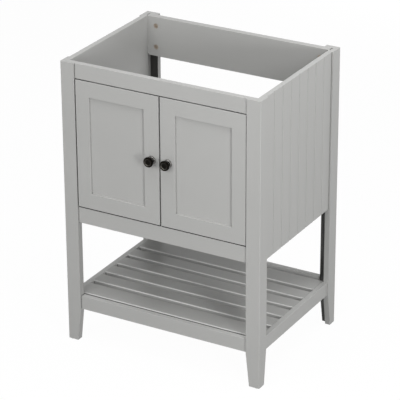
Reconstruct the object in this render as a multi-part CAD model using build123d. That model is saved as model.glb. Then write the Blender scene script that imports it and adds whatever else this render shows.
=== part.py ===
from build123d import *
import os

# Sink base cabinet: four tall L-shaped legs joined by rails, grooved side panels, a pair of
# recessed-panel doors hung on hidden pivot pins, a cabinet floor and an open slatted shelf.
# The top is open for a sink. Millimetres. The origin is on the floor under the middle of the
# whole piece, knobs included, with the doors towards -Y.
# Depths (y) are written from the front faces of the legs and moved to the origin at the end.

# Overall sizes
width = 610.0
depth = 455.0
height = 838.0
glide_height = 2.0
board = 15.0
frame_recess = 4.0

# Legs: a front or rear board and a side board behind it, glued in an L
front_board_width = 42.0
rear_board_width = 41.0
front_leg_depth = 39.0
rear_leg_depth = 44.0
taper_top = 104.0
foot_width = 31.0
foot_depth = 28.0
leg_arris = 2.0

# Foot glides
glide_radius = 9.0
glide_inset = 10.5
glide_rim = 0.8
glide_pin_radius = 1.25
glide_pin_length = 12.0

# Rails
top_rail_height = 43.6
bottom_rail_height = 47.0
bottom_rail_low = 369.5
shelf_rail_height = 40.0
shelf_rail_low = 102.0
rail_arris = 0.8

# Back top rail and its cam fittings
back_rail_height = 118.0
back_rail_thickness = 17.0
back_rail_end_gap = 3.0
back_rail_corner = 6.0
cam_from_end = 28.0
cam_from_edge = 27.5
cam_radius = 7.5
cam_depth = 13.5
cam_slot_width = 1.6
cam_slot_length = 10.0
cam_slot_depth = 2.0
cam_pocket_radius = 3.5
bolt_head_radius = 3.2
bolt_head_length = 3.0
bolt_neck_radius = 2.0
bolt_neck_length = 6.0
bolt_shank_radius = 3.0
bolt_thread_radius = 2.5
bolt_thread_length = 11.0
bolt_hole_slip = 0.3

# Side panels with V-grooves on the outside
side_panel_low = 372.0
first_groove = 42.7
groove_pitch = 47.25
groove_count = 7
groove_width = 5.0
groove_depth = 2.5

# Cabinet floor
floor_thickness = 12.0

# Shelf slats
slat_thickness = 12.0
end_slat_width = 60.0
middle_slat_width = 44.0
first_slat_front = 28.5
slat_count = 6
slat_arris = 1.5

# Dowels
dowel_radius = 3.0
dowel_length = 30.0
dowel_slip = 0.05
dowel_end_room = 0.5
dowel_bevel = 0.6
dowel_in_thin_board = 10.0
dowel_from_bottom = 10.5
dowel_from_top = 16.0
dowels_in_row = 4
slat_dowel_shares = (0.25, 0.75)
panel_dowel_inset = 22.0
floor_dowel_inset = 50.0

# Doors
door_recess = 2.0
door_thickness = 18.0
door_gap = 2.5
door_gap_below = 3.2
door_gap_between = 4.4
outer_stile_width = 42.0
inner_stile_width = 45.5
door_rail_height = 45.0
panel_thickness = 6.0
panel_recess = 6.0
panel_groove_depth = 10.0
panel_edge_room = 0.5
tenon_slip = 0.1
door_arris = 0.8

# Pivot pins and bushes
pin_radius = 2.5
pin_length = 30.0
pin_in_door = 10.0
pin_bevel = 0.5
pivot_from_edge = 21.0
bush_radius = 4.0
bush_length = 12.0
bush_flange_radius = 5.5
bush_running_gap = 0.3
bush_bore_slip = 0.05

# Knobs; heights along a knob are from the face of the door
knob_height = 606.5
knob_projection = 20.8
knob_head_radius = 14.4
knob_head_at = 16.6
knob_neck_radius = 6.0
knob_neck_at = 7.5
knob_base_radius = 12.4
knob_base_edge = 1.6
knob_rim_inset = 2.8
knob_rim_width = 1.4
knob_dish_depth = 2.4
knob_dish_slope = (-0.6, -1.0)
knob_thread_depth = 11.0
screw_radius = 2.0
screw_hole_radius = 2.3
screw_head_radius = 4.0
screw_head_height = 2.4
screw_in_knob = 8.5
screw_slot_width = 1.0
screw_slot_depth = 1.2

# How near the middle of an edge lies to where it is looked for
edge_tolerance = 0.01

# Where the parts meet
half = width / 2
front_clear = half - front_board_width
rear_clear = half - rear_board_width
panel_out = half - frame_recess
panel_in = panel_out - board
leg_in = half - board
leg_front_back = frame_recess + board
side_front = front_leg_depth
side_back = depth - rear_leg_depth
rail_front = frame_recess
rail_back = leg_front_back
back_rail_front = depth - board - back_rail_thickness
rear_frame_back = depth - frame_recess
rear_frame_front = rear_frame_back - board
top_rail_low = height - top_rail_height
bottom_rail_top = bottom_rail_low + bottom_rail_height
shelf_top = shelf_rail_low + shelf_rail_height
back_rail_low = height - back_rail_height
back_rail_end = leg_in - back_rail_end_gap
door_low = bottom_rail_top + door_gap_below
door_top = top_rail_low - door_gap
door_outer = front_clear - door_gap
door_inner = door_gap_between / 2
door_back = door_recess + door_thickness
panel_front = door_recess + panel_recess
panel_back = panel_front + panel_thickness
pivot_x = door_outer - pivot_from_edge
pivot_y = door_recess + door_thickness / 2
knob_x = door_inner + inner_stile_width / 2
knob_stand = knob_projection - door_recess
front_to_origin = -(depth - knob_stand) / 2


def block(x, y, z):
    """A squared board between two values of x, of y and of z."""
    centre = ((x[0] + x[1]) / 2, (y[0] + y[1]) / 2, (z[0] + z[1]) / 2)
    return Pos(*centre) * Box(abs(x[1] - x[0]), y[1] - y[0], z[1] - z[0])


def rod(radius, length, centre, along):
    """A round bar centred on a point, along X, Y or Z."""
    turn = {"X": Rot(0, 90, 0), "Y": Rot(90, 0, 0), "Z": Rot(0, 0, 0)}[along]
    return Pos(*centre) * turn * Cylinder(radius, length)


def mirrored(shape):
    """The same piece on the other side of the cabinet."""
    return mirror(shape, about=Plane.YZ)


def prism(points, plane, thickness):
    """A board with the given outline on a plane, thickened along its normal."""
    return extrude(plane * make_face(Polyline(*points, close=True)), thickness)


def edges_near(shape, along, **at):
    """The straight edges along an axis whose middle has the given x, y or z values."""
    found = []
    for edge in shape.edges().filter_by(along):
        middle = edge.center()
        if all(abs(getattr(middle, axis.upper()) - value) < edge_tolerance for axis, value in at.items()):
            found.append(edge)
    return found


# Dowels: each is a centre point and a direction


def paired(points):
    """The points and their mirror images."""
    return points + [(-x, y, z) for x, y, z in points]


def slat_fronts():
    """The front edge and the width of each shelf slat, front to back, evenly spaced."""
    widths = [end_slat_width] + [middle_slat_width] * (slat_count - 2) + [end_slat_width]
    gap = (rear_frame_front - first_slat_front - sum(widths)) / slat_count
    rows = []
    front = first_slat_front
    for slat_width in widths:
        rows.append((front, slat_width))
        front += slat_width + gap
    return rows


def spaced(low, high):
    """The places of a row of dowels, evenly spaced from low to high."""
    step = (high - low) / (dowels_in_row - 1)
    return [low + number * step for number in range(dowels_in_row)]


def rail_dowel_points():
    """Dowels along X between the rails and the front and rear boards of the legs."""
    front_y = (rail_front + rail_back) / 2
    rear_y = (depth - board + rear_frame_back) / 2
    levels = (
        (shelf_rail_low, shelf_rail_height),
        (bottom_rail_low, bottom_rail_height),
        (top_rail_low, top_rail_height),
    )
    points = []
    for low, rail_height in levels:
        for z in (low + dowel_from_bottom, low + rail_height - dowel_from_top):
            points.append((front_clear, front_y, z))
            if low != top_rail_low:
                points.append((rear_clear, rear_y, z))
    return paired(points)


def side_dowel_points():
    """Dowels along Y between the side boards of the legs and the side panels and rails."""
    x = (leg_in + panel_out) / 2
    heights = spaced(side_panel_low + panel_dowel_inset, height - panel_dowel_inset)
    heights += [shelf_rail_low + dowel_from_bottom, shelf_top - dowel_from_top]
    return paired([(x, y, z) for y in (side_front, side_back) for z in heights])


def cross_dowel_points():
    """Dowels along X from the slats and the floor into the thin boards at the sides."""
    x = panel_in + dowel_in_thin_board - dowel_length / 2
    slat_z = shelf_top - slat_thickness / 2
    floor_z = bottom_rail_top - floor_thickness / 2
    depths = spaced(rail_back + floor_dowel_inset, rear_frame_front - floor_dowel_inset)
    points = [(x, y, floor_z) for y in depths]
    for front, slat_width in slat_fronts():
        points += [(x, front + slat_width * share, slat_z) for share in slat_dowel_shares]
    return paired(points)


dowels = [(point, "X") for point in rail_dowel_points() + cross_dowel_points()]
dowels += [(point, "Y") for point in side_dowel_points()]


def boxes_meet(one, other):
    """True where two bounding boxes share some space."""
    return (
        min(one.max.X, other.max.X) > max(one.min.X, other.min.X)
        and min(one.max.Y, other.max.Y) > max(one.min.Y, other.min.Y)
        and min(one.max.Z, other.max.Z) > max(one.min.Z, other.min.Z)
    )


def bored(shape):
    """The board with the holes of all the dowels that reach into it."""
    reach = shape.bounding_box()
    holes = []
    for centre, along in dowels:
        hole = rod(dowel_radius + dowel_slip, dowel_length + 2 * dowel_end_room, centre, along)
        if boxes_meet(reach, hole.bounding_box()):
            holes.append(hole)
    return shape.cut(*holes) if holes else shape


def frame_dowels():
    """All the wooden dowels, bevelled at both ends."""
    pin = Cylinder(dowel_radius, dowel_length)
    pin = chamfer(pin.edges().filter_by(GeomType.CIRCLE), dowel_bevel)
    turns = {"X": Rot(0, 90, 0), "Y": Rot(90, 0, 0)}
    return Compound([Pos(*centre) * turns[along] * pin for centre, along in dowels])


# Legs


def front_board(board_width, thickness, face_y, outer_y):
    """The right-hand front or rear board of a leg, tapered on its inner edge at the foot."""
    inner = half - board_width
    outline = (
        (half, glide_height),
        (half, height),
        (inner, height),
        (inner, taper_top),
        (half - foot_width, glide_height),
    )
    plane = Plane(origin=(0, face_y, 0), x_dir=(1, 0, 0), z_dir=(0, -1, 0))
    leg = prism(outline, plane, thickness)
    leg = fillet(edges_near(leg, Axis.Z, x=half, y=outer_y), leg_arris)
    return bored(leg)


def side_board(near, far, foot):
    """The right-hand side board of a leg from near to far, its free edge tapered to the foot."""
    outline = (
        (near, glide_height),
        (near, height),
        (far, height),
        (far, taper_top),
        (foot, glide_height),
    )
    plane = Plane(origin=(leg_in, 0, 0), x_dir=(0, 1, 0), z_dir=(1, 0, 0))
    return bored(prism(outline, plane, board))


def leg_boards():
    """The eight leg boards by name."""
    front = front_board(front_board_width, leg_front_back, leg_front_back, 0)
    front -= glide_pin_hole(glide_inset)
    rear = front_board(rear_board_width, board, depth, depth)
    rear -= glide_pin_hole(depth - glide_inset)
    front_side = side_board(leg_front_back, side_front, foot_depth)
    rear_side = side_board(depth - board, side_back, depth - foot_depth)
    pieces = {}
    for name, shape in (
        ("front_{}_leg_front_board", front),
        ("front_{}_leg_side_board", front_side),
        ("rear_{}_leg_rear_board", rear),
        ("rear_{}_leg_side_board", rear_side),
    ):
        pieces[name.format("right")] = shape
        pieces[name.format("left")] = mirrored(shape)
    return pieces


def glide_pin_hole(y):
    """The hole for the nail of a foot glide."""
    length = glide_pin_length + dowel_end_room
    return rod(glide_pin_radius, length, (half - glide_inset, y, glide_height + length / 2), "Z")


def foot_glides():
    """Four round nail-on glides."""
    disc = rod(glide_radius, glide_height, (0, 0, glide_height / 2), "Z")
    disc = chamfer(disc.edges().filter_by(GeomType.CIRCLE).sort_by(Axis.Z)[:1], glide_rim)
    nail_middle = glide_height + glide_pin_length / 2
    glide = disc + rod(glide_pin_radius, glide_pin_length, (0, 0, nail_middle), "Z")
    x = half - glide_inset
    return Compound([Pos(px, py, 0) * glide for px in (-x, x) for py in (glide_inset, depth - glide_inset)])


# Rails, panels, floor and shelf


def pivot_pin_holes():
    """The holes in the rails above and below the doors for the pivot pins."""
    return [rod(pin_radius, pin_length, centre, "Z") for centre in pin_centres()]


def pin_centres():
    """The middles of the four pivot pins."""
    low = door_low + pin_in_door - pin_length / 2
    top = door_top - pin_in_door + pin_length / 2
    return [(x, pivot_y, z) for x in (-pivot_x, pivot_x) for z in (low, top)]


def front_rails():
    """The rails between the front legs."""
    across = (-front_clear, front_clear)
    thick = (rail_front, rail_back)
    top = block(across, thick, (top_rail_low, height))
    bottom = block(across, thick, (bottom_rail_low, bottom_rail_top))
    shelf = block(across, thick, (shelf_rail_low, shelf_top))
    return {
        "front_top_rail": eased(bored(top.cut(*pivot_pin_holes()))),
        "front_bottom_rail": eased(bored(bottom.cut(*pivot_pin_holes()))),
        "front_shelf_rail": eased(bored(shelf)),
    }


def eased(rail):
    """A front rail with its two long front edges just rounded."""
    return fillet(edges_near(rail, Axis.X, y=rail_front), rail_arris)


def rear_rails():
    """The rails between the rear legs."""
    across = (-rear_clear, rear_clear)
    thick = (rear_frame_front, rear_frame_back)
    return {
        "back_bottom_rail": bored(block(across, thick, (bottom_rail_low, bottom_rail_top))),
        "back_shelf_rail": bored(block(across, thick, (shelf_rail_low, shelf_top))),
    }


def side_rails():
    """The shelf rails between the legs at each side."""
    rail = block((panel_in, panel_out), (side_front, side_back), (shelf_rail_low, shelf_top))
    rail = bored(fillet(edges_near(rail, Axis.Y, z=shelf_top), rail_arris))
    return {"right_shelf_rail": rail, "left_shelf_rail": mirrored(rail)}


def side_panels():
    """The side panels, lapped behind the legs and with seven V-grooves down the outer face."""
    up = (side_panel_low, height)
    panel = block((panel_in, panel_out), (side_front, side_back), up)
    panel += block((panel_in, leg_in), (rail_back, back_rail_front), up)
    grooves = []
    for count in range(groove_count):
        y = side_front + first_groove + count * groove_pitch
        outline = (
            (panel_out, y - groove_width / 2),
            (panel_out, y + groove_width / 2),
            (panel_out - groove_depth, y),
        )
        plane = Plane(origin=(0, 0, side_panel_low), x_dir=(1, 0, 0), z_dir=(0, 0, 1))
        grooves.append(prism(outline, plane, height - side_panel_low))
    panel = fillet(edges_near(panel, Axis.Y, x=panel_in, z=height), rail_arris)
    panel = bored(panel.cut(*grooves))
    return {"right_side_panel": panel, "left_side_panel": mirrored(panel)}


def cabinet_floor():
    """The floor of the cupboard, level with the top of the bottom rails."""
    low = bottom_rail_top - floor_thickness
    floor = block((-panel_in, panel_in), (rail_back, rear_frame_front), (low, bottom_rail_top))
    return bored(floor)


def shelf_slats():
    """The six slats of the open shelf, from front to back."""
    slats = {}
    for number, (front, slat_width) in enumerate(slat_fronts(), start=1):
        levels = (shelf_top - slat_thickness, shelf_top)
        slat = block((-panel_in, panel_in), (front, front + slat_width), levels)
        slat = fillet(edges_near(slat, Axis.X, z=shelf_top), slat_arris)
        slats[f"shelf_slat_{number}"] = bored(slat)
    return slats


# Back top rail and its cam fittings


def cam_centres():
    """The x and z of the four cams on the front face of the back top rail."""
    x = back_rail_end - cam_from_end
    levels = (back_rail_low + cam_from_edge, height - cam_from_edge)
    return [(side * x, z) for side in (-1, 1) for z in levels]


def back_top_rail():
    """The deep rail behind the sink opening, bored for its cams and bolts."""
    deep = (back_rail_front, back_rail_front + back_rail_thickness)
    rail = block((-back_rail_end, back_rail_end), deep, (back_rail_low, height))
    rail = fillet(edges_near(rail, Axis.Y, z=back_rail_low), back_rail_corner)
    rail = fillet(rail.faces().sort_by(Axis.Y)[0].edges(), rail_arris)
    holes = []
    for x, z in cam_centres():
        side = 1 if x > 0 else -1
        holes.append(rod(cam_radius, cam_depth, (x, back_rail_front + cam_depth / 2, z), "Y"))
        length = cam_from_end
        middle = x + side * length / 2
        holes.append(rod(bolt_shank_radius + bolt_hole_slip, length, (middle, bolt_y(), z), "X"))
    return rail.cut(*holes)


def bolt_y():
    """The depth of the connecting bolts, in the middle of the back top rail."""
    return back_rail_front + back_rail_thickness / 2


def back_rail_cams():
    """Four cam discs, each slotted for a screwdriver and hollowed for the head of its bolt."""
    cams = []
    for x, z in cam_centres():
        side = 1 if x > 0 else -1
        cam = rod(cam_radius, cam_depth, (x, back_rail_front + cam_depth / 2, z), "Y")
        pocket_middle = x + side * cam_radius / 2
        cam -= rod(cam_pocket_radius, cam_radius, (pocket_middle, bolt_y(), z), "X")
        slot = Box(cam_slot_length, 2 * cam_slot_depth, cam_slot_width)
        cross = Box(cam_slot_width, 2 * cam_slot_depth, cam_slot_length)
        cam -= Pos(x, back_rail_front, z) * slot
        cam -= Pos(x, back_rail_front, z) * cross
        cams.append(cam)
    return Compound(cams)


def cam_bolt():
    """One connecting bolt along +X, its head at x = 0: head, neck, shank and thread."""
    reach = cam_from_end + back_rail_end_gap
    shank = reach - bolt_head_length - bolt_neck_length
    start = bolt_head_length + bolt_neck_length
    bolt = rod(bolt_head_radius, bolt_head_length, (bolt_head_length / 2, 0, 0), "X")
    bolt += rod(bolt_neck_radius, bolt_neck_length, (bolt_head_length + bolt_neck_length / 2, 0, 0), "X")
    bolt += rod(bolt_shank_radius, shank, (start + shank / 2, 0, 0), "X")
    bolt += rod(bolt_thread_radius, bolt_thread_length, (reach + bolt_thread_length / 2, 0, 0), "X")
    return bolt


def back_rail_cam_bolts():
    """Four connecting bolts from the cams into the side boards of the rear legs."""
    bolt = cam_bolt()
    bolts = []
    for x, z in cam_centres():
        turn = Rot(0, 0, 0) if x > 0 else Rot(0, 0, 180)
        bolts.append(Pos(x, bolt_y(), z) * turn * bolt)
    return Compound(bolts)


def bolt_thread_holes():
    """The holes in the side boards of the rear legs for the bolts."""
    x = leg_in + bolt_thread_length / 2
    levels = (back_rail_low + cam_from_edge, height - cam_from_edge)
    return [
        rod(bolt_thread_radius, bolt_thread_length, (side * x, bolt_y(), z), "X")
        for side in (-1, 1)
        for z in levels
    ]


# Doors, made for the left side of the opening and mirrored for the right


def door_opening():
    """The x and z of the opening in the left door's frame."""
    across = (-door_outer + outer_stile_width, -door_inner - inner_stile_width)
    return across, (door_low + door_rail_height, door_top - door_rail_height)


def door_frame():
    """The frame of the left door before it is divided, its front arrises rounded."""
    across, up = door_opening()
    deep = (door_recess, door_back)
    slab = block((-door_outer, -door_inner), deep, (door_low, door_top))
    frame = slab - block(across, deep, up)
    return fillet(frame.faces().sort_by(Axis.Y)[0].edges(), door_arris)


def door_stile(outer_x, inner_x):
    """A full-height door stile with a groove down the edge at inner_x."""
    side = 1 if inner_x > outer_x else -1
    stile = door_frame() & block(sorted((outer_x, inner_x)), (door_recess, door_back), (door_low, door_top))
    groove_x = sorted((inner_x, inner_x - side * panel_groove_depth))
    return stile - block(groove_x, (panel_front, panel_back), (door_low, door_top))


def door_rail(low, groove_at_top):
    """A door rail between the stiles, with a tongue on each end and a groove for the panel."""
    (left, right), _ = door_opening()
    top = low + door_rail_height
    rail = door_frame() & block((left, right), (door_recess, door_back), (low, top))
    tongue_reach = panel_groove_depth - tenon_slip
    tongue = (panel_front + tenon_slip, panel_back - tenon_slip)
    rail += block((left - tongue_reach, right + tongue_reach), tongue, (low, top))
    groove_z = (top - panel_groove_depth, top) if groove_at_top else (low, low + panel_groove_depth)
    return rail - block((left - tongue_reach, right + tongue_reach), (panel_front, panel_back), groove_z)


def door_panel():
    """The flat panel, loose in the grooves of the frame."""
    room = panel_groove_depth - panel_edge_room
    (left, right), (low, top) = door_opening()
    return block((left - room, right + room), (panel_front, panel_back), (low - room, top + room))


def bush(door_space):
    """A plastic bush that stands in a door's lower edge, its flange in the space below."""
    flange = door_space - bush_running_gap
    shape = rod(bush_radius, bush_length, (0, 0, bush_length / 2), "Z")
    shape += rod(bush_flange_radius, flange, (0, 0, -flange / 2), "Z")
    return shape - rod(pin_radius + bush_bore_slip, 2 * bush_length, (0, 0, 0), "Z")


def pivot_bushes():
    """The bushes let into the top and bottom edges of the left door."""
    low = Pos(-pivot_x, pivot_y, door_low) * bush(door_gap_below)
    top = Pos(-pivot_x, pivot_y, door_top) * Rot(180, 0, 0) * bush(door_gap)
    return Compound([low, top])


def bush_holes():
    """The blind holes in the hinge stile that the bushes are pressed into."""
    low = rod(bush_radius, bush_length, (-pivot_x, pivot_y, door_low + bush_length / 2), "Z")
    top = rod(bush_radius, bush_length, (-pivot_x, pivot_y, door_top - bush_length / 2), "Z")
    return low, top


def hinge_pivot_pins():
    """Four steel pins fixed in the rails, on which the doors turn."""
    pin = Cylinder(pin_radius, pin_length)
    pin = chamfer(pin.edges().filter_by(GeomType.CIRCLE), pin_bevel)
    return Compound([Pos(*centre) * pin for centre in pin_centres()])


def knob():
    """The left knob: one casting with a foot, a waist and a dished head with a raised rim."""
    rim = knob_head_radius - knob_rim_inset
    dish = rim - knob_rim_width
    tip = knob_projection
    base = (knob_base_radius, knob_base_edge)
    neck = (knob_neck_radius, knob_neck_at)
    head = (knob_head_radius, knob_head_at)
    profile = Curve() + [
        Polyline((0, 0), (knob_base_radius, 0), base),
        Spline(base, neck, tangents=((0, 1), (0, 1))),
        Spline(neck, head, tangents=((0, 1), (0, 1))),
        Spline(head, (rim, tip), tangents=((0, 1), (-1, 0))),
        Line((rim, tip), (dish, tip)),
        Spline((dish, tip), (0, tip - knob_dish_depth), tangents=(knob_dish_slope, (-1, 0))),
        Line((0, tip - knob_dish_depth), (0, 0)),
    ]
    turned = revolve(Plane.XZ * make_face(profile), Axis.Z)
    turned -= rod(screw_radius, knob_thread_depth, (0, 0, knob_thread_depth / 2), "Z")
    return Pos(-knob_x, door_recess, knob_height) * Rot(90, 0, 0) * turned


def knob_screw():
    """The machine screw from the back of the door into the left knob."""
    length = door_thickness + screw_in_knob
    shank = rod(screw_radius, length, (-knob_x, door_back - length / 2, knob_height), "Y")
    head_middle = door_back + screw_head_height / 2
    head = rod(screw_head_radius, screw_head_height, (-knob_x, head_middle, knob_height), "Y")
    head = fillet(head.edges().filter_by(GeomType.CIRCLE).sort_by(Axis.Y)[-1:], screw_head_height / 3)
    slot = Box(2 * screw_head_radius, 2 * screw_slot_depth, screw_slot_width)
    return head + shank - Pos(-knob_x, door_back + screw_head_height, knob_height) * slot


def left_door():
    """The pieces of the left door by name."""
    hinge_stile = door_stile(-door_outer, -door_outer + outer_stile_width).cut(*bush_holes())
    lock_stile = door_stile(-door_inner, -door_inner - inner_stile_width)
    lock_stile -= rod(screw_hole_radius, door_thickness, (-knob_x, pivot_y, knob_height), "Y")
    return {
        "left_door_hinge_stile": hinge_stile,
        "left_door_lock_stile": lock_stile,
        "left_door_top_rail": door_rail(door_top - door_rail_height, False),
        "left_door_bottom_rail": door_rail(door_low, True),
        "left_door_panel": door_panel(),
        "left_door_pivot_bushes": pivot_bushes(),
        "left_knob": knob(),
        "left_knob_screw": knob_screw(),
    }


def assembly():
    """Every piece of the cabinet by name."""
    pieces = leg_boards()
    for side in ("left", "right"):
        name = f"rear_{side}_leg_side_board"
        pieces[name] = pieces[name].cut(*bolt_thread_holes())
    pieces["foot_glides"] = foot_glides()
    for group in (front_rails(), rear_rails(), side_rails(), side_panels(), shelf_slats()):
        pieces.update(group)
    pieces["cabinet_floor"] = cabinet_floor()
    pieces["back_top_rail"] = back_top_rail()
    pieces["back_rail_cams"] = back_rail_cams()
    pieces["back_rail_cam_bolts"] = back_rail_cam_bolts()
    pieces["frame_dowels"] = frame_dowels()
    pieces["door_pivot_pins"] = hinge_pivot_pins()
    for name, shape in left_door().items():
        pieces[name] = shape
        pieces[name.replace("left", "right")] = mirrored(shape)
    return pieces


os.makedirs("parts", exist_ok=True)
for name, shape in assembly().items():
    export_step(Pos(0, front_to_origin, 0) * shape, f"parts/{name}.step")
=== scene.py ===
import math

import bmesh
import bpy
from mathutils import Matrix, Vector


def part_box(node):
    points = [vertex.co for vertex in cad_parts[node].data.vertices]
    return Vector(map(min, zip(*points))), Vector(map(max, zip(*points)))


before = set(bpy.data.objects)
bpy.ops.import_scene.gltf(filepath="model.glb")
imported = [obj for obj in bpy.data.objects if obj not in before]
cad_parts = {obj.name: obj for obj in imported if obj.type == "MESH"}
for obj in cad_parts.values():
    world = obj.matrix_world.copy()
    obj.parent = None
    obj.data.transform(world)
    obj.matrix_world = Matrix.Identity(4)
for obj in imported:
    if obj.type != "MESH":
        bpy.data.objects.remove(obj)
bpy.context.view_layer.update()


# The camera stands to the right of the cabinet and above it, about six metres off, and looks
# down on the open top through a long lens.
camera_place = (2.73891, -4.78144, 2.91394)
camera_right = Vector((0.8692021, 0.49443792, -0.00434278))
camera_up = Vector((-0.19998415, 0.35956953, 0.91143628))
camera_ahead = Vector((-0.45221019, 0.79135384, -0.41141834))
focal_length = 196.65
sensor_width = 36.0
sideways_shift = -0.0058
upward_shift = -0.01395

lens = bpy.data.cameras.new("camera")
lens.lens = focal_length
lens.sensor_width = sensor_width
lens.shift_x = sideways_shift
lens.shift_y = upward_shift
camera = bpy.data.objects.new("camera", lens)
turn = Matrix((camera_right, camera_up, -camera_ahead)).transposed().to_4x4()
camera.matrix_world = Matrix.Translation(camera_place) @ turn
bpy.context.collection.objects.link(camera)
bpy.context.scene.camera = camera


# The four legs are L-shaped posts, a wooden board with a side board glued behind it, sprayed in
# pale grey satin. Upright grain shows faintly through, the rounded arrises are paler with thin paint
# and a painted highlight, and painted shade, nearly black, lies on the rear legs' forward faces in
# their recess.
class Shade:
    """A value or colour on its way through a material; sums on it add Math nodes."""

    def __init__(self, tree, socket=None):
        self.tree = tree
        self.socket = socket

    def node(self, kind, settings=None, inputs=None, output=0):
        """A node of a kind, with its settings and its sockets, and one of its outputs."""
        made = self.tree.nodes.new(kind)
        for name, value in (settings or {}).items():
            setattr(made, name, value)
        for name, value in (inputs or {}).items():
            if isinstance(value, Shade):
                self.tree.links.new(value.socket, made.inputs[name])
            else:
                made.inputs[name].default_value = value
        return Shade(self.tree, made.outputs[output])

    def sum(self, operation, first, second):
        """The result of one operation on two values."""
        return self.node("ShaderNodeMath", {"operation": operation}, {0: first, 1: second})

    def __add__(self, other):
        return self.sum("ADD", self, other)

    def __radd__(self, other):
        return self.sum("ADD", other, self)

    def __sub__(self, other):
        return self.sum("SUBTRACT", self, other)

    def __rsub__(self, other):
        return self.sum("SUBTRACT", other, self)

    def __mul__(self, other):
        return self.sum("MULTIPLY", self, other)

    def __rmul__(self, other):
        return self.sum("MULTIPLY", other, self)

    def __truediv__(self, other):
        return self.sum("DIVIDE", self, other)

    def __rtruediv__(self, other):
        return self.sum("DIVIDE", other, self)

    def __pow__(self, other):
        return self.sum("POWER", self, other)

    def __rpow__(self, other):
        return self.sum("POWER", other, self)

    def __neg__(self):
        return self.sum("SUBTRACT", 0.0, self)

    def __abs__(self):
        return self.sum("ABSOLUTE", self, 0.0)

    def larger(self, other):
        return self.sum("MAXIMUM", self, other)

    def held(self):
        """The value kept between 0 and 1."""
        return self.node("ShaderNodeClamp", {}, {"Value": self})

    def swing(self, share):
        """How far the value is from its middle, times a share."""
        return (self - 0.5) * share

    def past(self, level, steepness):
        """0 up to a level, and from there up to 1 at a steepness."""
        return ((self - level) * steepness).held()

    def blend(self, one, other):
        """One colour where this value is 0, and the other where it is 1."""
        colour_mix = {"data_type": "RGBA"}
        factor, first_colour, second_colour, mixed_colour = 0, 6, 7, 2
        sockets = {factor: self, first_colour: one, second_colour: other}
        return self.node("ShaderNodeMix", colour_mix, sockets, mixed_colour)

    def parts(self):
        """The three parts of a vector, each a value."""
        split = self.node("ShaderNodeSeparateXYZ", {}, {"Vector": self})
        return [Shade(self.tree, output) for output in split.socket.node.outputs]

    def stretched(self, x, y, z):
        """A place scaled by its own factor along each axis."""
        return self.node("ShaderNodeVectorMath", {"operation": "MULTIPLY"}, {0: self, 1: (x, y, z)})

    def mottle(self, fineness, detail=2.0):
        """Soft random patches at a place, from about 0 to 1; fineness is patches to the metre."""
        inputs = {"Vector": self, "Scale": fineness, "Detail": detail}
        return self.node("ShaderNodeTexNoise", {}, inputs)


def surface(name):
    """A new material, with its shader, and a place on the object to work from."""
    material = bpy.data.materials.new(name)
    material.use_nodes = True
    shader = material.node_tree.nodes["Principled BSDF"]
    place = Shade(material.node_tree).node("ShaderNodeTexCoord", output="Object")
    return material, shader, place


def feed(shader, **inputs):
    """Puts plain values or worked-out shades on the sockets of a shader."""
    for name, value in inputs.items():
        socket = shader.inputs[name.replace("_", " ")]
        if isinstance(value, Shade):
            value.tree.links.new(value.socket, socket)
        else:
            socket.default_value = value


def raised(height, deep):
    """A surface normal from a height between 0 and 1, with its depth in metres."""
    return height.node("ShaderNodeBump", {}, {"Strength": 1.0, "Distance": deep, "Height": height})


def facing(place):
    """The way a face looks: across, back and up."""
    return place.node("ShaderNodeTexCoord", output="Normal").parts()


def looking_forward(place):
    """1 on faces that look to the front, and 0 on tops, sides and backs."""
    across, back, up = facing(place)
    return (-back).held()


def slanted(place):
    """1 on a rounded arris or a groove's wall, and 0 on the square faces of a board."""
    nearly_square = 0.97
    steepness = 4.0
    across, back, up = [abs(part) for part in facing(place)]
    return ((nearly_square - across.larger(back).larger(up)) * steepness).held()


def in_corners(place, reach):
    """1 deep in a corner between pieces, falling to 0 within a reach from it."""
    inputs = {"Distance": reach}
    open_sky = place.node("ShaderNodeAmbientOcclusion", {"samples": 8}, inputs, "AO")
    return (1.0 - open_sky).held()


paint_grey = (0.427, 0.427, 0.417, 1.0)
# Near black for dark joint lines and for painted shade in the gaps and corners.
joint_line_and_shade_grey = (0.045, 0.044, 0.041, 1.0)
droplet_fineness = 650.0
orange_peel = 0.000012
joint_shade_steepness = 3.0
narrow_joint_shade_reach = 0.006
edge_steepness = 500.0


def evenly_darkened(colour, painted_shade):
    """A colour darkened evenly by an amount, for painted shade."""
    return tuple(part - painted_shade for part in colour[:3]) + (1.0,)


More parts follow.
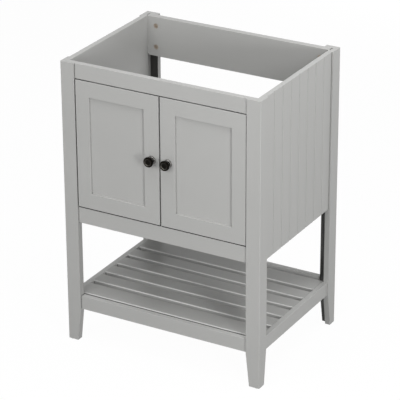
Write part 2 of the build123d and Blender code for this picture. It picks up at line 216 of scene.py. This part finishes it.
def grey_paint(name, along, streaks=0.5, thin_paint_and_highlight=0.6, thin_paint_and_highlight_tone=0.475, joint_shade_from=0.5,
               joint_shade_reach=narrow_joint_shade_reach, painted_shade=0.0, touch=None):
    """Sprayed grey satin paint on a board whose grain runs along x, y or z.

    streaks is how much grain shows, the arris arguments how pale the arrises are, where the paint
    is thin and a highlight is painted, the joint arguments how soon and how widely a joint shows as
    a dark line with painted shade in the gaps and corners, the argument after them how much
    painted shade darkens the whole board evenly, and touch a last change to the colour at each place.
    """
    # Painted shade can darken the greys of a whole board evenly, as on the slats.
    deep_grey = evenly_darkened((0.398, 0.398, 0.388), painted_shade)
    thin_paint_and_highlight_grey = (thin_paint_and_highlight_tone, thin_paint_and_highlight_tone, thin_paint_and_highlight_tone - 0.01, 1.0)
    grain_length = 0.03
    fibre_fineness = 260.0
    cloud_fineness = 7.0
    material, shader, place = surface(name)
    squeeze = [grain_length if axis == along else 1.0 for axis in "xyz"]
    fibre = place.stretched(*squeeze).mottle(fibre_fineness, 3.0)
    clouds = place.mottle(cloud_fineness, 3.0)
    droplets = place.mottle(droplet_fineness, 1.0)
    tone = (0.5 + clouds.swing(0.9) + fibre.swing(streaks) + droplets.swing(0.3)).held()
    colour = tone.blend(deep_grey, evenly_darkened(paint_grey, painted_shade))
    # The arrises are paler, where the paint is thin and a highlight is painted.
    colour = (slanted(place) * thin_paint_and_highlight).blend(colour, thin_paint_and_highlight_grey)
    # A dark line at each joint, with painted shade in the gaps and corners between pieces.
    joint_line_and_shade = in_corners(place, joint_shade_reach).past(joint_shade_from, joint_shade_steepness)
    colour = joint_line_and_shade.blend(colour, joint_line_and_shade_grey)
    if touch:
        colour = touch(place, colour)
    rough = 0.40 + clouds.swing(0.10) + fibre.swing(0.08)
    relief = raised(droplets * 0.6 + fibre * streaks, orange_peel)
    feed(shader, Base_Color=colour, Roughness=rough, Normal=relief, Specular_IOR_Level=0.4)
    return material


def finish(material, *names):
    """Gives CAD nodes a finish."""
    for name in names:
        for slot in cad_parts[name].material_slots:
            slot.material = material


def painted_recess_shade(place, colour):
    """Paints shade, nearly black, on the faces of a rear leg that look forward from its corner with
    the rails.
    """
    painted_recess_shade_grey = (0.042, 0.041, 0.039, 1.0)
    leg_inside = 0.288
    recess_reach = 0.08
    recess_from = 0.06
    recess_steepness = 7.0
    across, back, up = place.parts()
    within = 1.0 - abs(across).past(leg_inside, edge_steepness)
    deep = in_corners(place, recess_reach).past(recess_from, recess_steepness)
    # Painted shade, nearly black, deep in the recess on faces that look forward.
    return (deep * looking_forward(place) * within).blend(colour, painted_recess_shade_grey)


front_leg_paint = grey_paint("grey paint over upright grain", "z", thin_paint_and_highlight=0.8, joint_shade_from=0.38)
rear_leg_paint = grey_paint("grey paint on the rear legs", "z", thin_paint_and_highlight=0.8, joint_shade_from=0.7,
                            touch=painted_recess_shade)
for side in ("left", "right"):
    finish(front_leg_paint, f"front_{side}_leg_front_board", f"front_{side}_leg_side_board")
    finish(rear_leg_paint, f"rear_{side}_leg_rear_board", f"rear_{side}_leg_side_board")


# A round plastic glide is nailed under each foot: dark moulded polyethylene, matt, scuffed
# paler and rougher on the rim and sole where it drags on the floor.
def glide_plastic():
    """Matt dark plastic, scuffed near the floor."""
    moulded_black = (0.045, 0.045, 0.047, 1.0)
    scuffed_grey = (0.16, 0.16, 0.165, 1.0)
    scuff_height = 0.0012
    scratch_length = 0.15
    mould_texture = 0.00002
    material, shader, place = surface("dark moulded plastic of the glides")
    across, back, up = place.parts()
    near_floor = (1.0 - up / scuff_height).held()
    scratches = place.stretched(1.0, scratch_length, 1.0).mottle(900.0, 3.0)
    worn = (near_floor * scratches * 1.4).held()
    grain = place.mottle(1500.0)
    colour = (worn * 0.8 + grain.swing(0.2)).held().blend(moulded_black, scuffed_grey)
    feed(shader, Base_Color=colour, Roughness=0.55 + worn * 0.25 + grain.swing(0.1))
    feed(shader, Normal=raised(grain, mould_texture), Specular_IOR_Level=0.4)
    return material


finish(glide_plastic(), "foot_glides")


# The rails between the front legs and between the rear legs are solid boards, dowelled and
# glued, set back a few millimetres from the faces of the legs, with the same sprayed paint.
front_rail_paint = grey_paint("grey paint on the front rails", "x", joint_shade_from=0.15)
finish(front_rail_paint, "front_top_rail", "front_bottom_rail", "front_shelf_rail")
back_rail_paint = grey_paint("grey paint on the back rails", "x", joint_shade_from=0.6)
finish(back_rail_paint, "back_bottom_rail", "back_shelf_rail")


# Each side has a fibreboard panel with seven V-grooves cut down its outer face. The board has
# no grain; the cut walls of the grooves drink more paint, so they dry a little duller and
# darker, and the joints round the panel show as dark lines outside, with painted shade in the
# corners by the legs.
def grooved_paint():
    """Sprayed paint on fibreboard, duller inside the grooves."""
    deep_grey = (0.404, 0.404, 0.394, 1.0)
    groove_grey = (0.33, 0.33, 0.32, 1.0)
    outer_face = 0.293
    joint_shade_from = 0.12
    roller_length = 0.12
    material, shader, place = surface("grey paint on grooved fibreboard")
    clouds = place.mottle(6.0, 3.0)
    droplets = place.mottle(droplet_fineness, 1.0)
    roller = place.stretched(1.0, 1.0, roller_length).mottle(90.0)
    tone = (0.5 + clouds.swing(0.9) + roller.swing(0.3) + droplets.swing(0.3)).held()
    cut = slanted(place)
    colour = (cut * 0.2).blend(tone.blend(deep_grey, paint_grey), groove_grey)
    across, back, up = place.parts()
    outside = abs(across).past(outer_face, edge_steepness)
    # Dark lines at the joints round the panel outside, with painted shade in the corners by the legs.
    joint_line_and_shade = in_corners(place, narrow_joint_shade_reach).past(joint_shade_from, joint_shade_steepness)
    colour = (joint_line_and_shade * outside * (1.0 - cut)).blend(colour, joint_line_and_shade_grey)
    rough = 0.40 + clouds.swing(0.10) + cut * 0.18
    relief = raised(droplets, orange_peel)
    feed(shader, Base_Color=colour, Roughness=rough, Normal=relief, Specular_IOR_Level=0.4)
    return material


finish(grooved_paint(), "left_side_panel", "right_side_panel")


# The deep back top rail is a wide wooden board that stands a little short of the rear legs and
# is drawn to them by cam fittings. It has the same paint as the other rails.
finish(back_rail_paint, "back_top_rail")


# Four cam discs are let into its face: zinc castings with a brownish passivated skin, grey and
# bright where the screwdriver has turned in the cross slot.
def cast_zinc():
    """Brownish cast zinc, bright at worn places."""
    deep_brown = (0.34, 0.28, 0.22, 1.0)
    light_brown = (0.52, 0.45, 0.38, 1.0)
    rubbed_zinc = (0.62, 0.60, 0.57, 1.0)
    slot_reach = 0.002
    casting_pits = 0.00006
    material, shader, place = surface("passivated cast zinc of the cams")
    skin = place.mottle(180.0, 4.0)
    pits = place.mottle(1400.0)
    bright = (in_corners(place, slot_reach) * skin).held()
    brown = (skin * 1.6 - 0.3).held().blend(deep_brown, light_brown)
    colour = (bright * 0.5).blend(brown, rubbed_zinc)
    feed(shader, Base_Color=colour, Roughness=0.42 + pits.swing(0.3) - bright * 0.1)
    feed(shader, Metallic=0.6, Normal=raised(pits, casting_pits))
    return material


finish(cast_zinc(), "back_rail_cams")


# The connecting bolts, the pivot pins and the screws behind the knobs are turned steel with a
# thin zinc plating, faintly ringed by the tool and clouded by handling.
def plated_steel():
    """Zinc-plated turned steel."""
    cloudy_zinc = (0.50, 0.51, 0.53, 1.0)
    clean_zinc = (0.66, 0.66, 0.65, 1.0)
    tool_marks = 0.00001
    material, shader, place = surface("zinc-plated turned steel")
    cloud = place.mottle(140.0, 3.0)
    rings = place.mottle(2600.0)
    colour = cloud.blend(cloudy_zinc, clean_zinc)
    feed(shader, Base_Color=colour, Roughness=0.30 + cloud.swing(0.16) + rings.swing(0.08))
    feed(shader, Metallic=1.0, Normal=raised(rings, tool_marks))
    return material


steel = plated_steel()
finish(steel, "back_rail_cam_bolts", "door_pivot_pins", "left_knob_screw", "right_knob_screw")


# The floor of the cupboard is a thin fibreboard panel let in level with the bottom rails. It
# is sprayed with the frame, and scuffed a little where things are pushed in and out.
def floor_paint():
    """Sprayed paint on a board that things slide over."""
    deep_grey = (0.398, 0.398, 0.388, 1.0)
    light_grey = (0.43, 0.43, 0.42, 1.0)
    scraped_grey = (0.50, 0.50, 0.49, 1.0)
    corner_darkened_grey = (0.30, 0.298, 0.288, 1.0)
    corner_reach = 0.015
    scrape_length = 0.06
    material, shader, place = surface("grey paint on the cupboard floor")
    clouds = place.mottle(6.0, 3.0)
    droplets = place.mottle(droplet_fineness, 1.0)
    scrapes = place.stretched(1.0, scrape_length, 1.0).mottle(120.0, 4.0)
    scuffed = scrapes.past(0.62, 5.0)
    colour = (clouds + droplets.swing(0.3)).held().blend(deep_grey, light_grey)
    colour = (scuffed * 0.35).blend(colour, scraped_grey)
    # Darker towards the corners.
    colour = (in_corners(place, corner_reach) * 0.35).blend(colour, corner_darkened_grey)
    feed(shader, Base_Color=colour, Roughness=0.42 + scuffed * 0.15 + clouds.swing(0.1))
    feed(shader, Normal=raised(droplets, orange_peel), Specular_IOR_Level=0.4)
    return material


finish(floor_paint(), "cabinet_floor")


# The open shelf: six slats with rounded long edges between two side rails, all solid wood
# under the same paint. The slats lie flat, painted a little darker all over as painted shade, with a
# painted highlight along the top of their front edges and on their arrises, and dark joint lines
# with painted shade where they meet the rails.
highlight_tone = 0.66


def painted_front_edge_highlight(place, colour):
    """Paints a highlight on the front edge of a slat, down from its top."""
    painted_highlight_grey = (highlight_tone, highlight_tone, highlight_tone - 0.01, 1.0)
    highlight_width = 0.0038
    highlight_fade = 0.001
    slat_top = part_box("shelf_slat_1")[1][2]
    across, back, up = place.parts()
    near_top = ((up - (slat_top - highlight_width)) / highlight_fade).held()
    return (near_top * looking_forward(place)).blend(colour, painted_highlight_grey)


side_rail_paint = grey_paint("grey paint over front-to-back grain", "y", thin_paint_and_highlight=1.0)
finish(side_rail_paint, "left_shelf_rail", "right_shelf_rail")
slat_paint = grey_paint("grey paint on the slats", "x", streaks=0.7, thin_paint_and_highlight=1.0,
                        thin_paint_and_highlight_tone=highlight_tone, joint_shade_from=0.26, joint_shade_reach=0.016, painted_shade=0.075,
                        touch=painted_front_edge_highlight)
for number in range(1, 7):
    finish(slat_paint, f"shelf_slat_{number}")


# Beech dowels hold the boards together. They are glued into holes drilled in the ends and faces
# of the boards, where the joints hide them, and left bare.
def bare_beech():
    """Bare beech with fine flecks."""
    dark_wood = (0.50, 0.34, 0.20, 1.0)
    pale_wood = (0.72, 0.54, 0.36, 1.0)
    fleck_brown = (0.34, 0.20, 0.11, 1.0)
    grain_length = 0.2
    open_grain = 0.00004
    material, shader, place = surface("bare beech of the dowels")
    grain = place.stretched(grain_length, grain_length, 1.0).mottle(700.0, 4.0)
    flecks = place.mottle(1800.0).past(0.6, 6.0)
    colour = (flecks * 0.5).blend(grain.blend(dark_wood, pale_wood), fleck_brown)
    feed(shader, Base_Color=colour, Roughness=0.62 + grain.swing(0.2))
    feed(shader, Normal=raised(grain, open_grain), Specular_IOR_Level=0.3)
    return material


finish(bare_beech(), "frame_dowels")


# Two doors, each a frame of two stiles and two rails glued round a flat panel that sits back
# from the face, under the same paint. Only hairlines show where the boards meet: dark joint lines
# with painted shade in the gaps and corners.
stile_paint = grey_paint("grey paint on door stiles", "z", streaks=0.35, joint_shade_from=0.36)
rail_paint = grey_paint("grey paint on door rails", "x", streaks=0.35, joint_shade_from=0.55)
panel_paint = grey_paint("grey paint on door panels", "z", streaks=0.2)
for side in ("left", "right"):
    finish(stile_paint, f"{side}_door_hinge_stile", f"{side}_door_lock_stile")
    finish(rail_paint, f"{side}_door_top_rail", f"{side}_door_bottom_rail")
    finish(panel_paint, f"{side}_door_panel")


# The doors turn in flanged bushes of dark acetal, pressed into the top and bottom edges of
# the outer stiles and polished by the pins.
def bush_plastic():
    """Smooth dark plastic, polished where it turns."""
    polished_black = (0.035, 0.035, 0.037, 1.0)
    dull_black = (0.07, 0.07, 0.073, 1.0)
    mould_texture = 0.00001
    material, shader, place = surface("dark plastic of the bushes")
    swirl = place.mottle(500.0, 3.0)
    colour = swirl.blend(polished_black, dull_black)
    feed(shader, Base_Color=colour, Roughness=0.36 + swirl.swing(0.2))
    feed(shader, Normal=raised(place.mottle(1700.0), mould_texture))
    return material


finish(bush_plastic(), "left_door_pivot_bushes", "right_door_pivot_bushes")


# Each knob is one zinc casting with a foot, a waist and a dished head, coated in the manner of
# oiled bronze: nearly black round the head and a little paler in the dish, with a painted
# reflection of dull silver on the waist and the foot and a paler painted reflection on the wall
# of the dish. The rim of the head has worn to warm brown.
def dark_bronze():
    """Near-black coated metal, with painted reflections on the waist, foot and dish wall, and brown at
    the rim.
    """
    coat_black = (0.002, 0.002, 0.0015, 1.0)
    coat_brown = (0.006, 0.005, 0.004, 1.0)
    dish_floor = (0.014, 0.013, 0.011, 1.0)
    painted_dish_wall_reflection = (0.11, 0.105, 0.095, 1.0)
    painted_reflection_silver = (0.155, 0.15, 0.143, 1.0)
    worn_brown = (0.060, 0.040, 0.025, 1.0)
    dish_share = 0.71
    wall_share = 0.55
    rim_share = 0.76
    rim_width_share = 0.12
    dish_deep = 0.005
    dish_fade = 0.0012
    wall_fade = 0.001
    rim_deep = 0.003
    head_deep = 0.0048
    head_fade = 0.002
    casting_pits = 0.00002
    lowest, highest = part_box("right_knob")
    middle_x = (lowest[0] + highest[0]) / 2
    middle_z = (lowest[2] + highest[2]) / 2
    front = lowest[1]
    radius = (highest[0] - lowest[0]) / 2
    material, shader, place = surface("dark bronze coat of the knobs")
    across, back, up = place.parts()
    out = ((abs(across) - middle_x) ** 2.0 + (up - middle_z) ** 2.0) ** 0.5
    behind = back - front
    shallow = (1.0 - behind / dish_deep).held()
    in_dish = ((radius * dish_share - out) / dish_fade).held() * shallow
    on_wall = ((out - radius * wall_share) / wall_fade).held() * in_dish
    on_rim = (1.0 - abs(out - radius * rim_share) / (radius * rim_width_share)).held()
    painted_reflection_on_waist_and_foot = ((behind - head_deep) / head_fade).held()
    patchy = place.mottle(420.0, 4.0)
    worn = (on_rim * (1.0 - behind / rim_deep).held() * (patchy * 1.8 - 0.4)).held()
    colour = (patchy * 1.5 - 0.25).held().blend(coat_black, coat_brown)
    colour = in_dish.blend(colour, dish_floor)
    # Painted reflections: paler on the dish wall, dull silver on the waist and the foot.
    colour = (on_wall * (0.45 + patchy * 0.9)).held().blend(colour, painted_dish_wall_reflection)
    colour = (painted_reflection_on_waist_and_foot * (0.65 + patchy * 0.5)).held().blend(colour, painted_reflection_silver)
    colour = (worn * 0.3).blend(colour, worn_brown)
    feed(shader, Base_Color=colour, Roughness=0.24 + patchy.swing(0.14) + worn * 0.1)
    feed(shader, Metallic=1.0, Normal=raised(place.mottle(1300.0), casting_pits))
    return material


finish(dark_bronze(), "left_knob", "right_knob")


# The studio: a pale floor that runs on past the view, white surroundings, and soft lamps. The
# camera, metal and glass see the floor and the surroundings white, but the light that these
# throw on the cabinet is weak.
white = (1.0, 1.0, 1.0, 1.0)
half_width = 30.0
floor_mesh = bpy.data.meshes.new("studio_floor")
sheet = bmesh.new()
bmesh.ops.create_grid(sheet, x_segments=1, y_segments=1, size=half_width)
sheet.to_mesh(floor_mesh)
sheet.free()
studio_floor = bpy.data.objects.new("studio_floor", floor_mesh)
bpy.context.collection.objects.link(studio_floor)


def seen_directly(start):
    """1 for what the camera sees, also in a mirror or through glass."""
    rays = ("Is Camera Ray", "Is Glossy Ray", "Is Transmission Ray")
    camera_ray, glossy_ray, glass_ray = [start.node("ShaderNodeLightPath", output=ray) for ray in rays]
    return (camera_ray + glossy_ray + glass_ray).held()


floor_shaded = (0.30, 0.30, 0.30, 1.0)
floor_seen = (0.95, 0.95, 0.95, 1.0)
white_share = 0.97
floor_white, shader, place = surface("white floor")
seen = seen_directly(place)
feed(shader, Base_Color=seen.blend(floor_shaded, floor_seen), Roughness=0.9, Specular_IOR_Level=0.0)
glow = place.node("ShaderNodeEmission", {}, {"Color": white, "Strength": 1.0})
lit = Shade(place.tree, shader.outputs["BSDF"])
whole = place.node("ShaderNodeMixShader", {}, {0: seen * white_share, 1: lit, 2: glow})
floor_output = floor_white.node_tree.nodes["Material Output"]
floor_white.node_tree.links.new(whole.socket, floor_output.inputs["Surface"])
floor_mesh.materials.append(floor_white)

world = bpy.data.worlds.new("surroundings")
bpy.context.scene.world = world
world.use_nodes = True
background = world.node_tree.nodes["Background"]
surround_strength = 0.06
seen = seen_directly(Shade(world.node_tree))
feed(background, Color=white, Strength=seen * (1.0 - surround_strength) + surround_strength)


def softbox(name, azimuth, height_angle, power, size=0.7, distance=3.6):
    """A square diffused lamp aimed at the cabinet; azimuth is to the right of the front."""
    middle = Vector((0.0, 0.0, 0.45))
    around = math.radians(azimuth)
    upward = math.radians(height_angle)
    level = math.cos(upward)
    reach = Vector((level * math.sin(around), -level * math.cos(around), math.sin(upward)))
    lamp = bpy.data.lights.new(name, "AREA")
    lamp.shape = "SQUARE"
    lamp.size = size
    lamp.energy = power
    holder = bpy.data.objects.new(name, lamp)
    holder.location = middle + reach * distance
    holder.rotation_euler = (-reach).to_track_quat("-Z", "Y").to_euler()
    bpy.context.collection.objects.link(holder)


# The key lamp and the one above it light the right side and the fronts. Five more fill the
# fronts, the shelf and the tops, and the last four lift the inside, the rear end of the right
# side, the back and the left side.
softbox("softbox_key", azimuth=56.0, height_angle=9.0, power=46.0)
softbox("softbox_right", azimuth=50.0, height_angle=28.0, power=20.0)
softbox("softbox_front", azimuth=10.0, height_angle=28.0, power=16.0, size=1.0)
softbox("softbox_left", azimuth=-15.0, height_angle=28.0, power=18.0, size=1.0)
softbox("softbox_left_low", azimuth=-15.0, height_angle=10.0, power=14.0, size=1.0)
softbox("softbox_over", azimuth=20.0, height_angle=70.0, power=48.0, size=2.0)
softbox("softbox_over_left", azimuth=-60.0, height_angle=70.0, power=27.0, size=2.0)
softbox("softbox_near_right", azimuth=106.0, height_angle=55.0, power=9.5, size=0.6, distance=1.9)
softbox("softbox_side", azimuth=130.0, height_angle=9.0, power=9.0)
softbox("softbox_back", azimuth=-168.0, height_angle=0.5, power=20.0, size=0.9)
softbox("softbox_left_side", azimuth=-100.0, height_angle=0.5, power=22.0, size=0.9)

bpy.context.scene.view_settings.view_transform = "Standard"
